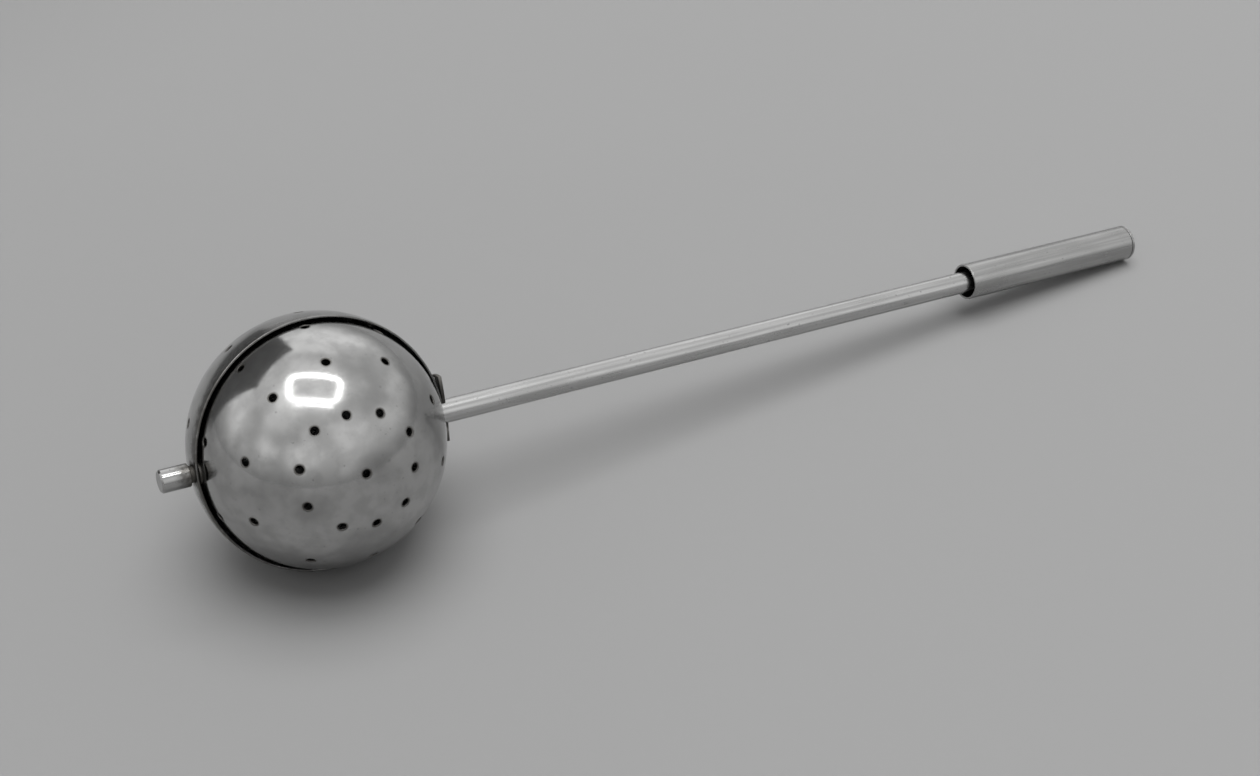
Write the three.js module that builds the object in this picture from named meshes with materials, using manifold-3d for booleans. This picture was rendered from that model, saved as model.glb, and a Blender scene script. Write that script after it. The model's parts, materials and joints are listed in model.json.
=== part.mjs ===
// A long-handled tea ball. Two perforated half shells sit on the axis of a thin
// tube. Turning the grip at the tube's far end turns a rod inside it, which swings
// the inner half shell into the outer one and so opens the ball for filling.
//
// Millimetres, +Z up. The strainer lies as it is put down on a table, on its outer
// half shell and the far end of its grip, with the handle towards +X.

import * as THREE from "three";
import { mergeVertices } from "three/addons/utils/BufferGeometryUtils.js";
import Module from "manifold-3d";

const wasm = await Module();
wasm.setup();

// The ball
const ballDiameter = 40.2; // over the outer half shell
const sheetThickness = 0.4; // of both half shells
const shellGap = 0.4; // between the outer half shell and the inner one
const outerPastAxis = 1.8; // how far the outer half shell reaches past the handle's axis
const innerPastAxis = 1; // how far the inner one does, hidden inside the outer one
const holeDiameter = 1.3;

// The handle
const tubeDiameter = 3.8;
const tubeWall = 0.5;
const tubeSeat = 0.2; // how far the tube stands in from the outer shell's wall
const handleReach = 159.9; // from the ball's centre to the grip's closed end
const gripDiameter = 6.4;
const gripWall = 0.4;
const gripLength = 37.3;

// The strap that carries the tube on the outer half shell: a slightly bowed disc of
// sheet, trimmed straight on two sides
const strapDiameter = 10.8;
const strapWidth = 4.2;
const strapPastAxis = 1; // how far the strap reaches past the handle's axis, over the rim's side
const strapRise = 0.7; // from the handle's axis up to the disc's middle
const strapThickness = 0.6;
const strapBendRadius = 36;
const strapLift = 0.05; // solder line between the strap and the ball

// The rod and what turns with it
const rodDiameter = 1.6;
const stubDiameter = 3.6;
const stubReach = 5; // how far the stub's end stands off the ball
const stubCap = 0.6; // solid end of the stub
const stubChamfer = 0.25;
const rodTipGap = 0.2;
const hubDiameter = 3;
const hubLength = 2.4;
const hubFlangeDiameter = 6.4;
const hubFlangeThickness = 0.5;
const hubFlangeCut = 1.5; // from the axis to the flange's straight side
const hubSeat = 0.3; // solder line between the flange and the inner half shell
const pinDiameter = 0.7;
const plugLength = 12.4; // from the plug's inner face to the grip's closed end
const plugHead = 0.6;
const plugCap = 2.5; // solid end of the grip plug
const plugChamfer = 0.2;

// Bearings
const bushFlange = 0.5;
const bushLength = 4.8;
const farBushDiameter = 2.6;
const farBushProud = 0.5; // how far the far bush stands out of the ball
const washerSpace = 0.6; // between a hub and its bush
const washerDiameter = 3.4;
const waveWasherThickness = 0.2;
const stopHeight = 0.8; // of the two stop lugs inside the grip
const stopDiameter = 3.6;

// Clearances
const fitGap = 0.1; // between pieces that are pressed, pinned or soldered together
const runGap = 0.1; // between a piece that turns and the piece that guides it
const notchGap = 0.2; // round a bush flange in the inner half shell's notch
const cutOverrun = 1; // how far a cutter passes the wall that it cuts

// How the ball lies: the inner half shell's pole looks this far above the table
const poleRise = THREE.MathUtils.degToRad(22.1);

// Turning: from closed to fully open, with the play left at each stop
const openTurn = THREE.MathUtils.degToRad(180);
const stopPlay = THREE.MathUtils.degToRad(3);
const stopLugTurn = THREE.MathUtils.degToRad(30);

// The drilled holes: one at the pole and three rings round it. A ring has its tilt
// from the pole, and for each hole how far its drilling strayed in tilt and in turn,
// in degrees.
const holesPerRing = 10;
const firstHoleTurn = 22;
const holeRings = [
  {
    tilt: 28,
    strayTilts: [0, -1, -1, 1.5, 1, 1, -1, -1.5, 0, -2.5],
    strayTurns: [3, 4.5, 3, -1, 0, 0, 4, 4, 2.5, 3],
  },
  {
    tilt: 54.5,
    strayTilts: [0.5, 0, -1, -1, -0.5, 2.5, 1, 1.5, 0, -2],
    strayTurns: [0, 1, 0, -1, 1, -0.5, 3.5, 4, -1, 0],
  },
  {
    tilt: 80.7,
    strayTilts: [0, 0.5, 0.5, -1, 0.5, 0, -0.5, 0, 0.5, 0],
    strayTurns: [-2, -2, -2, -3, -2, -2, -1, -2, -3, -2],
  },
];

// Facets
const shellSides = 40;
const outerRings = 12; // so many lay one ring of facets flat on the table
const innerRings = 10;
const roundSides = 24;
const holeSides = 10;
const pinSides = 12;
const waves = 3;

// Sizes that follow
const outerRadius = ballDiameter / 2;
const outerInside = outerRadius - sheetThickness;
const innerRadius = outerInside - shellGap;
const innerInside = innerRadius - sheetThickness;
const tubeRadius = tubeDiameter / 2;
const tubeBore = tubeRadius - tubeWall;
const gripRadius = gripDiameter / 2;
const gripBore = gripRadius - gripWall;
const rodRadius = rodDiameter / 2;
const rodHole = rodRadius + runGap;
const stubRadius = stubDiameter / 2;
const hubRadius = hubDiameter / 2;
const farBushRadius = farBushDiameter / 2;
const pinRadius = pinDiameter / 2;
const pinHole = pinRadius + fitGap;
const thrustWasherThickness = washerSpace - 2 * runGap;
const waveHeight = (thrustWasherThickness - waveWasherThickness) / 2;

// Places along the handle's axis, from the ball's centre towards the grip
const tubeStart = outerInside - tubeSeat;
const nearFlangeEnd = tubeStart - fitGap;
const nearFlangeStart = nearFlangeEnd - bushFlange;
const hubEnd = nearFlangeStart - washerSpace;
const hubStart = hubEnd - hubLength;
const hubPinAt = hubStart + hubLength / 4;
const washerMiddle = hubEnd + washerSpace / 2;
const gripMouth = handleReach - gripLength;
const plugStart = handleReach - plugLength;
const plugHeadStart = handleReach - plugHead;
const plugBoreEnd = handleReach - plugCap;
const gripPinAt = (plugStart + plugBoreEnd) / 2;
const gripFlangeEnd = plugStart - runGap - stopHeight;
const gripFlangeStart = gripFlangeEnd - bushFlange;
const tubeEnd = gripFlangeStart - fitGap;
const farBushEnd = outerRadius + farBushProud;
const stubStart = farBushEnd + runGap;
const stubEnd = outerRadius + stubReach;
const stubBoreEnd = stubEnd - stubCap;

// Finishes
const polished = new THREE.MeshStandardMaterial({
  color: 0xb4b4b0,
  metalness: 1,
  roughness: 0.12,
});
const satin = new THREE.MeshStandardMaterial({
  color: 0xa9a9a6,
  metalness: 1,
  roughness: 0.34,
});
const steel = new THREE.MeshStandardMaterial({
  color: 0x8f9092,
  metalness: 1,
  roughness: 0.3,
});
const nickelSilver = new THREE.MeshStandardMaterial({
  color: 0x9d9a90,
  metalness: 1,
  roughness: 0.35,
});

// A solid turned about the X axis. Its profile lists the radius and the place along
// X of each corner, anticlockwise.
function turned(profile, sides = roundSides) {
  const corners = profile.map(([radius, along]) => new THREE.Vector2(radius, along));
  return new THREE.LatheGeometry(corners, sides).rotateZ(-Math.PI / 2);
}

function rod(radius, from, to, sides = roundSides) {
  const profile = [
    [0, from],
    [radius, from],
    [radius, to],
    [0, to],
  ];
  return turned(profile, sides);
}

function sleeve(bore, radius, from, to, sides = roundSides) {
  const profile = [
    [bore, from],
    [radius, from],
    [radius, to],
    [bore, to],
    [bore, from],
  ];
  return turned(profile, sides);
}

// An outline drawn in Y and Z, drawn out along X
function drawnAlongX(outline, from, to) {
  const settings = { depth: to - from, bevelEnabled: false, curveSegments: roundSides };
  const yzx = new THREE.Matrix4().makeBasis(
    new THREE.Vector3(0, 1, 0),
    new THREE.Vector3(0, 0, 1),
    new THREE.Vector3(1, 0, 0),
  );
  const drawn = new THREE.ExtrudeGeometry(outline, settings).applyMatrix4(yzx);
  return drawn.translate(from, 0, 0);
}

// A pin across the axis, along Z, at a place along X
function crossPin(radius, length, along) {
  const pin = new THREE.CylinderGeometry(radius, radius, length, pinSides);
  return pin.rotateX(Math.PI / 2).translate(along, 0, 0);
}

// A sector of a ring about X, centred on an angle that is measured from Y to Z
function ringSector(bore, radius, middle, spread, from, to) {
  const outline = new THREE.Shape();
  outline.absarc(0, 0, radius, middle - spread / 2, middle + spread / 2, false);
  outline.absarc(0, 0, bore, middle + spread / 2, middle - spread / 2, true);
  return drawnAlongX(outline, from, to);
}

function solidOf(geometry) {
  const bare = geometry.clone();
  bare.deleteAttribute("normal");
  bare.deleteAttribute("uv");
  const merged = mergeVertices(bare);
  const mesh = new wasm.Mesh({
    numProp: 3,
    vertProperties: new Float32Array(merged.attributes.position.array),
    triVerts: new Uint32Array(merged.index.array),
  });
  return new wasm.Manifold(mesh);
}

function geometryOf(solid) {
  const mesh = solid.getMesh();
  const geometry = new THREE.BufferGeometry();
  geometry.setAttribute("position", new THREE.BufferAttribute(mesh.vertProperties, 3));
  geometry.setIndex(new THREE.BufferAttribute(mesh.triVerts, 1));
  geometry.computeVertexNormals();
  return geometry;
}

function joined(...geometries) {
  return geometries.map(solidOf).reduce((whole, more) => whole.add(more));
}

function cut(solid, ...cutters) {
  return cutters.map(solidOf).reduce((rest, cutter) => rest.subtract(cutter), solid);
}

function piece(name, geometry, material) {
  const mesh = new THREE.Mesh(geometry, material);
  mesh.name = name;
  return mesh;
}

// A half shell whose pole looks along +Y. It reaches pastAxis beyond the ball's centre.
function halfShell(radius, pastAxis, rings) {
  const inside = radius - sheetThickness;
  const arc = (arcRadius, from, to) =>
    Array.from({ length: rings + 1 }, (_, ring) => {
      const angle = THREE.MathUtils.lerp(from, to, ring / rings);
      const across = angle === 0 ? 0 : arcRadius * Math.sin(angle);
      return new THREE.Vector2(across, arcRadius * Math.cos(angle));
    });
  const rimAngle = (arcRadius) => Math.PI / 2 + Math.asin(pastAxis / arcRadius);
  const profile = [
    ...arc(inside, 0, rimAngle(inside)),
    ...arc(radius, rimAngle(radius), 0),
  ];
  return new THREE.LatheGeometry(profile, shellSides);
}

// The drills for a shell whose pole looks along +Y
function drills(radius) {
  const wallMiddle = radius - sheetThickness / 2;
  const drillLength = sheetThickness + 2 * cutOverrun;
  const holeRadius = holeDiameter / 2;
  const pole = new THREE.Vector3(0, 1, 0);
  const drillTowards = (tiltDegrees, turnDegrees) => {
    const tilt = THREE.MathUtils.degToRad(tiltDegrees);
    const turn = THREE.MathUtils.degToRad(turnDegrees);
    const towards = new THREE.Vector3(
      Math.sin(tilt) * Math.cos(turn),
      Math.cos(tilt),
      -Math.sin(tilt) * Math.sin(turn),
    );
    const lean = new THREE.Quaternion().setFromUnitVectors(pole, towards);
    const drill = new THREE.CylinderGeometry(holeRadius, holeRadius, drillLength, holeSides);
    return drill.translate(0, wallMiddle, 0).applyQuaternion(lean);
  };
  const all = [drillTowards(0, 0)];
  for (const { tilt, strayTilts, strayTurns } of holeRings) {
    for (let hole = 0; hole < holesPerRing; hole++) {
      const turn = firstHoleTurn + (360 / holesPerRing) * hole;
      all.push(drillTowards(tilt + strayTilts[hole], turn + strayTurns[hole]));
    }
  }
  return all;
}

// The fixed half of the ball. A round-bottomed notch in its rim takes the tube, and a
// hole behind the rim takes the far bush.
function outerHalfShell() {
  const notchRadius = tubeRadius + fitGap;
  const notchEnd = outerRadius + cutOverrun;
  const notchDepth = outerPastAxis + cutOverrun;
  const bottom = rod(notchRadius, innerInside, notchEnd);
  const mouth = new THREE.BoxGeometry(notchEnd - innerInside, notchDepth, 2 * notchRadius);
  mouth.translate((notchEnd + innerInside) / 2, -notchDepth / 2, 0);
  const bushHole = rod(farBushRadius + fitGap, -notchEnd, -innerInside);
  const whole = solidOf(halfShell(outerRadius, outerPastAxis, outerRings));
  const shell = cut(whole, ...drills(outerRadius));
  return geometryOf(cut(shell, bottom, mouth, bushHole));
}

// The half that swings inside the other. Open slots in its rim clear both bushes.
function innerHalfShell() {
  const notchRadius = tubeRadius + notchGap;
  const slotDepth = innerPastAxis + cutOverrun;
  const slotLength = 2 * (innerRadius + cutOverrun);
  const slot = new THREE.BoxGeometry(slotLength, slotDepth, 2 * notchRadius);
  slot.translate(0, slotDepth / 2, 0);
  const notches = rod(notchRadius, -slotLength / 2, slotLength / 2);
  const whole = solidOf(halfShell(innerRadius, innerPastAxis, innerRings));
  const shell = cut(whole, ...drills(innerRadius));
  // The pole comes round from +Y to -Y, about X.
  const turnedOver = shell.rotate([180, 0, 0]);
  return geometryOf(cut(turnedOver, notches, slot));
}

// The strap is soldered to the ball where the tube enters it. It reaches past the
// tube on three sides and is open towards the inner half shell.
function rootStrap() {
  const outside = strapBendRadius + strapThickness;
  const discRadius = strapDiameter / 2;
  const halfTurn = Math.asin((discRadius + strapRise + cutOverrun) / outside);
  const bow = new THREE.Shape();
  bow.absarc(0, 0, outside, -halfTurn, halfTurn, false);
  bow.absarc(0, 0, strapBendRadius, halfTurn, -halfTurn, true);
  const settings = { depth: strapWidth, bevelEnabled: false, curveSegments: pinSides };
  const sheet = new THREE.ExtrudeGeometry(bow, settings);
  sheet.translate(outerRadius + strapLift - strapBendRadius, 0, strapPastAxis - strapWidth);
  sheet.rotateX(Math.PI / 2);
  const clear = outerRadius + strapThickness + cutOverrun;
  const disc = rod(discRadius, innerInside, clear).translate(0, 0, strapRise);
  const tubeHole = rod(tubeRadius + fitGap, innerInside, clear);
  return geometryOf(cut(solidOf(sheet).intersect(solidOf(disc)), tubeHole));
}

// A flanged bush pressed into the tube's end at the ball
function nearBush() {
  const bushRadius = tubeBore - fitGap;
  return turned([
    [rodHole, nearFlangeStart],
    [tubeRadius, nearFlangeStart],
    [tubeRadius, nearFlangeEnd],
    [bushRadius, nearFlangeEnd],
    [bushRadius, nearFlangeEnd + bushLength],
    [rodHole, nearFlangeEnd + bushLength],
    [rodHole, nearFlangeStart],
  ]);
}

// The bush in the tube's other end. A lug on its flange stops the grip's turn.
function gripBush() {
  const bushRadius = tubeBore - fitGap;
  const body = turned([
    [rodHole, gripFlangeStart - bushLength],
    [bushRadius, gripFlangeStart - bushLength],
    [bushRadius, gripFlangeStart],
    [tubeRadius, gripFlangeStart],
    [tubeRadius, gripFlangeEnd],
    [rodHole, gripFlangeEnd],
    [rodHole, gripFlangeStart - bushLength],
  ]);
  const lug = ringSector(
    rodHole,
    stopDiameter / 2,
    0,
    stopLugTurn,
    gripFlangeStart,
    gripFlangeEnd + stopHeight,
  );
  return geometryOf(joined(body, lug));
}

// The bush in the far side of the ball, soldered into the outer half's hole
function farBush() {
  return turned([
    [rodHole, -farBushEnd],
    [farBushRadius, -farBushEnd],
    [farBushRadius, -nearFlangeEnd],
    [tubeRadius, -nearFlangeEnd],
    [tubeRadius, -nearFlangeStart],
    [rodHole, -nearFlangeStart],
    [rodHole, -farBushEnd],
  ]);
}

// A hub on the rod, with a flange that is straight on one side and is soldered
// inside the inner half shell's wall
function hub() {
  const flangeRadius = hubFlangeDiameter / 2;
  const wallAtFlange = Math.sqrt(innerInside ** 2 - flangeRadius ** 2);
  const flangeEnd = wallAtFlange - hubSeat;
  const cutAngle = Math.acos(hubFlangeCut / flangeRadius);
  const outline = new THREE.Shape();
  outline.absarc(0, 0, flangeRadius, cutAngle, 2 * Math.PI - cutAngle, false);
  const flange = drawnAlongX(outline, flangeEnd - hubFlangeThickness, flangeEnd);
  const whole = joined(rod(hubRadius, hubStart, hubEnd), flange);
  const bore = rod(rodHole, hubStart - cutOverrun, hubEnd + cutOverrun);
  const pinBore = crossPin(pinHole, hubDiameter + cutOverrun, hubPinAt);
  return geometryOf(cut(whole, bore, pinBore));
}

// A springy ring bent into waves, which drags on the near hub
function waveWasher() {
  const half = waveWasherThickness / 2;
  const sides = roundSides + pinSides;
  const ring = sleeve(rodHole, washerDiameter / 2, -half, half, sides);
  const places = ring.getAttribute("position");
  for (let i = 0; i < places.count; i++) {
    const angle = Math.atan2(places.getZ(i), places.getY(i));
    places.setX(i, places.getX(i) + washerMiddle + waveHeight * Math.sin(waves * angle));
  }
  return ring;
}

function thrustWasher() {
  const half = thrustWasherThickness / 2;
  return sleeve(rodHole, washerDiameter / 2, -washerMiddle - half, -washerMiddle + half);
}

// The rod, from inside the stub, through the ball and the tube, to the grip plug
function driveRod() {
  const plain = solidOf(rod(rodRadius, -stubBoreEnd + rodTipGap, plugBoreEnd - rodTipGap));
  const pinBores = [-hubPinAt, hubPinAt, gripPinAt].map((along) =>
    crossPin(pinHole, rodDiameter + cutOverrun, along),
  );
  return geometryOf(cut(plain, ...pinBores));
}

// The blind end piece on the rod's tip, outside the ball
function endStub() {
  return turned([
    [0, -stubEnd],
    [stubRadius - stubChamfer, -stubEnd],
    [stubRadius, -stubEnd + stubChamfer],
    [stubRadius, -stubStart],
    [rodHole, -stubStart],
    [rodHole, -stubBoreEnd],
    [0, -stubBoreEnd],
  ]);
}

// The plug that closes the grip and holds the rod. A lug on its inner face meets
// the bush's lug at each end of the turn.
function gripPlug() {
  const plugRadius = gripBore - fitGap;
  const body = turned([
    [rodHole, plugStart],
    [plugRadius, plugStart],
    [plugRadius, plugHeadStart],
    [gripRadius, plugHeadStart],
    [gripRadius, handleReach - plugChamfer],
    [gripRadius - plugChamfer, handleReach],
    [0, handleReach],
    [0, plugBoreEnd],
    [rodHole, plugBoreEnd],
    [rodHole, plugStart],
  ]);
  const lugTurn = 2 * Math.PI - openTurn - stopLugTurn - 2 * stopPlay;
  const lugStart = stopLugTurn / 2 + stopPlay;
  const lug = ringSector(
    rodHole,
    stopDiameter / 2,
    lugStart + lugTurn / 2,
    lugTurn,
    gripFlangeEnd + runGap,
    plugStart + plugHead,
  );
  const pinBore = crossPin(pinHole, gripDiameter, gripPinAt);
  return geometryOf(cut(joined(body, lug), pinBore));
}

const fixedPieces = [
  piece("outer_half_shell", outerHalfShell(), polished),
  piece("root_strap", rootStrap(), satin),
  piece("handle_tube", sleeve(tubeBore, tubeRadius, tubeStart, tubeEnd), satin),
  piece("near_bush", nearBush(), nickelSilver),
  piece("far_bush", farBush(), nickelSilver),
  piece("grip_bush", gripBush(), nickelSilver),
];

const nearHub = piece("near_hub", hub(), nickelSilver);
const farHub = piece("far_hub", hub(), nickelSilver);
farHub.rotation.y = Math.PI;
const sleeveEnd = plugHeadStart - fitGap;
const gripPinLength = 2 * (gripBore - 2 * fitGap);
const turningPieces = [
  piece("inner_half_shell", innerHalfShell(), polished),
  piece("drive_rod", driveRod(), steel),
  nearHub,
  farHub,
  piece("near_hub_pin", crossPin(pinRadius, hubDiameter, hubPinAt), steel),
  piece("far_hub_pin", crossPin(pinRadius, hubDiameter, -hubPinAt), steel),
  piece("wave_washer", waveWasher(), steel),
  piece("thrust_washer", thrustWasher(), steel),
  piece("end_stub", endStub(), satin),
  piece("grip_sleeve", sleeve(gripBore, gripRadius, gripMouth, sleeveEnd), satin),
  piece("grip_plug", gripPlug(), satin),
  piece("grip_pin", crossPin(pinRadius, gripPinLength, gripPinAt), steel),
];

// The handle dips until its closed end meets the table that the ball lies on.
const reachToEdge = Math.hypot(handleReach, gripRadius);
const handleDip = Math.asin(outerRadius / reachToEdge) - Math.atan2(gripRadius, handleReach);

const rolled = new THREE.Group();
rolled.rotation.x = -poleRise;
rolled.add(...fixedPieces, ...turningPieces);

const lying = new THREE.Group();
lying.rotation.y = handleDip;
lying.add(rolled);

// The origin is on the table, under the middle of the whole strainer.
const extent = new THREE.Box3().setFromObject(lying, true);
const middle = extent.getCenter(new THREE.Vector3());
lying.position.set(-middle.x, -middle.y, -extent.min.z);

const teaBall = new THREE.Group();
teaBall.add(lying);

export default teaBall;
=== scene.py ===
"""Finished pieces for a long-handled tea ball, built round its CAD frame.

The ball is two pressed, drilled and polished half shells. The outer one is fixed to a
satin tube, and the inner one turns with the rod inside that tube and with the grip.
Every piece is drawn in the handle's own frame: +X runs from the ball to the grip, -Y
looks out of the turning half's pole, and the origin is the ball's centre.
"""

import json
import math
from collections import namedtuple

import bpy
from bpy.props import FloatProperty, FloatVectorProperty, PointerProperty
from mathutils import Matrix, Vector
from mathutils.geometry import delaunay_2d_cdt


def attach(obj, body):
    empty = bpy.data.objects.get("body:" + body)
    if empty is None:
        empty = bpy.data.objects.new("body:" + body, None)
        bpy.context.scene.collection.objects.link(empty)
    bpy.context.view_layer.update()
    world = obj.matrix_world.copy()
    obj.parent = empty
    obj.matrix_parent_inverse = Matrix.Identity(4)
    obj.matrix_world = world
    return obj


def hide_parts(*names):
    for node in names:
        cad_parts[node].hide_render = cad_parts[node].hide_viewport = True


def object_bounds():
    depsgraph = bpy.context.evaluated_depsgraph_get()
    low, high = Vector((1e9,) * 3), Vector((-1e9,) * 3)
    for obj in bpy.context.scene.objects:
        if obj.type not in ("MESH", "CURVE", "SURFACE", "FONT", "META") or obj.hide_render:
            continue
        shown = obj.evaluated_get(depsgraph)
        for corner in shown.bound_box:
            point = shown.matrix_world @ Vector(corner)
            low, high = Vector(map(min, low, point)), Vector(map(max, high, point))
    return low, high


bl_info = {
    "name": "Long-handled tea ball",
    "version": (1, 0, 0),
    "blender": (4, 5, 0),
    "location": "3D View > Sidebar > Tea Ball",
    "description": "Builds the finished pieces of a long-handled tea ball round its frame",
    "category": "Object",
}

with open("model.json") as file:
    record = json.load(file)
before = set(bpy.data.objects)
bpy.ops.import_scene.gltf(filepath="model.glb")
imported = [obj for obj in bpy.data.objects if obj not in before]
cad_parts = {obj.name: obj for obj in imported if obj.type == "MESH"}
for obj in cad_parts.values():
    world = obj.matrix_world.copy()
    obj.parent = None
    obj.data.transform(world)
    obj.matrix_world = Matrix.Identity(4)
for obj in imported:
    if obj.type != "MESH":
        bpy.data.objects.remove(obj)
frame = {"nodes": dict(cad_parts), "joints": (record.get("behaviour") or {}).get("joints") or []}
CAD_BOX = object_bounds()

MM = 0.001
HANDLE = "handle"
TURNING = "turning_half"

# How the ball lies: the turning half's pole looks this far above the table
POLE_RISE = math.radians(22.1)
hinge = frame["joints"][0]
BALL_CENTRE = Vector(hinge["pos_m"])


def lying_handle():
    """The handle's own frame, as it lies on the table."""
    along = Vector(hinge["axis"]).normalized()
    level = Vector((0, -1, 0))
    upright = level.cross(along)
    pole = level * math.cos(POLE_RISE) + upright * math.sin(POLE_RISE)
    across = -pole
    place = Matrix((along, across, along.cross(across))).transposed().to_4x4()
    place.translation = BALL_CENTRE
    return place


LYING = lying_handle()
TO_HANDLE = LYING.inverted()

Span = namedtuple("Span", "start end bore radius reach")


def span(node):
    """How a CAD piece lies in the handle's frame.

    start and end are along the axis, bore and radius its least and greatest distance
    from it, and reach is how far it goes along Z.
    """
    places = [TO_HANDLE @ v.co for v in frame["nodes"][node].data.vertices]
    along = [p.x for p in places]
    out = [math.hypot(p.y, p.z) for p in places]
    return Span(min(along), max(along), min(out), max(out), max(p.z for p in places))


def reach_from_centre(node):
    """How far a CAD piece reaches from the ball's centre."""
    return max((TO_HANDLE @ v.co).length for v in frame["nodes"][node].data.vertices)


# Sizes read from the frame
TUBE = span("handle_tube")
SLEEVE = span("grip_sleeve")
PLUG = span("grip_plug")
STUB = span("end_stub")
ROD = span("drive_rod")
NEAR_BUSH = span("near_bush")
FAR_BUSH = span("far_bush")
GRIP_BUSH = span("grip_bush")
NEAR_HUB = span("near_hub")
WAVE_WASHER = span("wave_washer")
THRUST_WASHER = span("thrust_washer")
ROD_HOLE = NEAR_BUSH.bore
BALL_RADIUS = reach_from_centre("outer_half_shell")
INNER_RADIUS = reach_from_centre("inner_half_shell")

# Sizes of the half shells and the strap
SMOOTH_ALLOWANCE = 0.06 * MM  # a smooth ball stays this far inside the faceted one's corners
SHEET = 0.4 * MM
OUTER_PAST_AXIS = 1.8 * MM  # how far the outer half reaches past the handle's axis
INNER_PAST_AXIS = 1.0 * MM
TUBE_NOTCH = 2.0 * MM
BUSH_HOLE = 1.4 * MM
TURNING_NOTCH = 2.1 * MM
STRAP_SHEET = 0.6 * MM
STRAP_DIAMETER = 10.8 * MM
STRAP_WIDTH = 4.2 * MM
STRAP_PAST_AXIS = 1.0 * MM
STRAP_RISE = 0.7 * MM
STRAP_BEND_RADIUS = 90.0 * MM
STRAP_LIFT = 0.05 * MM
STRAP_ROUNDING = 0.14 * MM
SOLDER_FILLET = 0.35 * MM
SOLDER_SINK = 0.1 * MM  # how far the solder reaches into what it joins
SOLDER_EDGE = 0.35 * MM  # how far the solder under the strap stays in from its edge
SOLDER_REACH = math.radians(112)  # how far round the tube the solder runs, each way

# Sizes of the turned pieces
ROUND_ALLOWANCE = 0.03 * MM  # a smooth grip stays this far inside the faceted one's corners
FIT_GAP = 0.1 * MM
BUSH_FLANGE = 0.5 * MM
BUSH_PROUD_RADIUS = 1.3 * MM
STOP_HEIGHT = 0.8 * MM
STOP_RADIUS = 1.8 * MM
STOP_LUG_TURN = math.radians(30)
STOP_PLAY = math.radians(3)
OPEN_TURN = math.radians(180)
HUB_RADIUS = 1.5 * MM
HUB_FLANGE_RADIUS = 3.2 * MM
HUB_FLANGE_THICKNESS = 0.5 * MM
HUB_FLANGE_CUT = 1.5 * MM
HUB_SEAT = 0.3 * MM
PIN_RADIUS = 0.35 * MM
PLUG_HEAD = 0.6 * MM
PLUG_CAP = 2.5 * MM
PLUG_CHAMFER = 0.2 * MM
STUB_CAP = 0.6 * MM
STUB_CHAMFER = 0.25 * MM
WAVE_SHEET = 0.2 * MM
WAVES = 3
TURNED_ROUNDING = 0.06 * MM
FINE_ROUNDING = 0.03 * MM

# The drilled holes: one at the pole and three rings round it. A ring has its tilt from
# the pole, and for each hole how far its drilling strayed in tilt and in turn, in degrees.
HOLES_PER_RING = 10
FIRST_HOLE_TURN = 22
HOLE_RINGS = [
    (28, [0, -1, -1, 1.5, 1, 1, -1, -1.5, 0, -2.5], [3, 4.5, 3, -1, 0, 0, 4, 4, 2.5, 3]),
    (54.5, [0.5, 0, -1, -1, -0.5, 2.5, 1, 1.5, 0, -2], [0, 1, 0, -1, 1, -0.5, 3.5, 4, -1, 0]),
    (80.7, [0, 0.5, 0.5, -1, 0.5, 0, -0.5, 0, 0.5, 0], [-2, -2, -2, -3, -2, -2, -1, -2, -3, -2]),
]

# How grimy the pieces are, from 0 to 1, and how far that reaches. The stain by the holes is real;
# the darkening at the rims, seats, backs, far bush, stub's seat and grip's mouth is painted shade,
# and on the strap it is dirt and painted shade.
# The half shells' rims are painted darker by the seam: painted shade.
INNER_RIM_SHADE, INNER_RIM_REACH = 0.4, 0.6 * MM
OUTER_RIM_SHADE, OUTER_RIM_REACH = 0.95, 4.0 * MM
# How far the painted shade round the far bush and the notches reaches
SEAT_REACH = 1.5 * MM
# The sheet's back faces, inside the ball, are painted darker: painted shade.
BACK_SHADE = 0.6
# The strap is darkened with dirt and painted shade, most at its edges and on its back.
STRAP_EDGE_DIRT_AND_SHADE, STRAP_FACE_DIRT_AND_SHADE = 1.0, 0.5
STRAP_EDGE_REACH = 1.2 * MM
# The far bush is painted dark all over: painted shade in the gap at the stub's base.
BUSH_SHADE = 1.0
# The stub's end by the ball is painted dark: painted shade.
STUB_SEAT_SHADE = 1.0
# The grip sleeve's bore is painted darker: painted shade in its mouth.
MOUTH_SHADE = 0.5
RIM_SHADE_MIDDLE, RIM_SHADE_SWING = 0.6, 0.4  # a rim's painted shade is darker on the stub's side

# How finely the surfaces are drawn
ROUND_SIDES = 96
PIN_SIDES = 32
HOLE_SIDES = 40
FILL_SPACING = 0.62 * MM
CORNER_STEPS = 4
RIM_STEPS = 3
DIMPLE_RINGS = 3
NOTCH_SIDES = 24
NOTCH_WALL_SIDES = 4
FILL_CLEARANCE = 1.6 * FILL_SPACING  # how far the even points stay from rims and notches
CORNER_ROOM_SHARE = 0.98  # how much of half a side a rounded corner may take up
EDGE_SHARE = 0.999  # what lies past this share of a hole's edge is on the metal
BUSH_EDGE_SHARE = 0.98
SLIVER_SHARE = 1e-4  # a triangle flatter than this is no part of a surface
NUDGE_SHARE = 1e-3  # the step over which a surface's slope is measured
MERGE_DISTANCE = 1e-9


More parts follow.
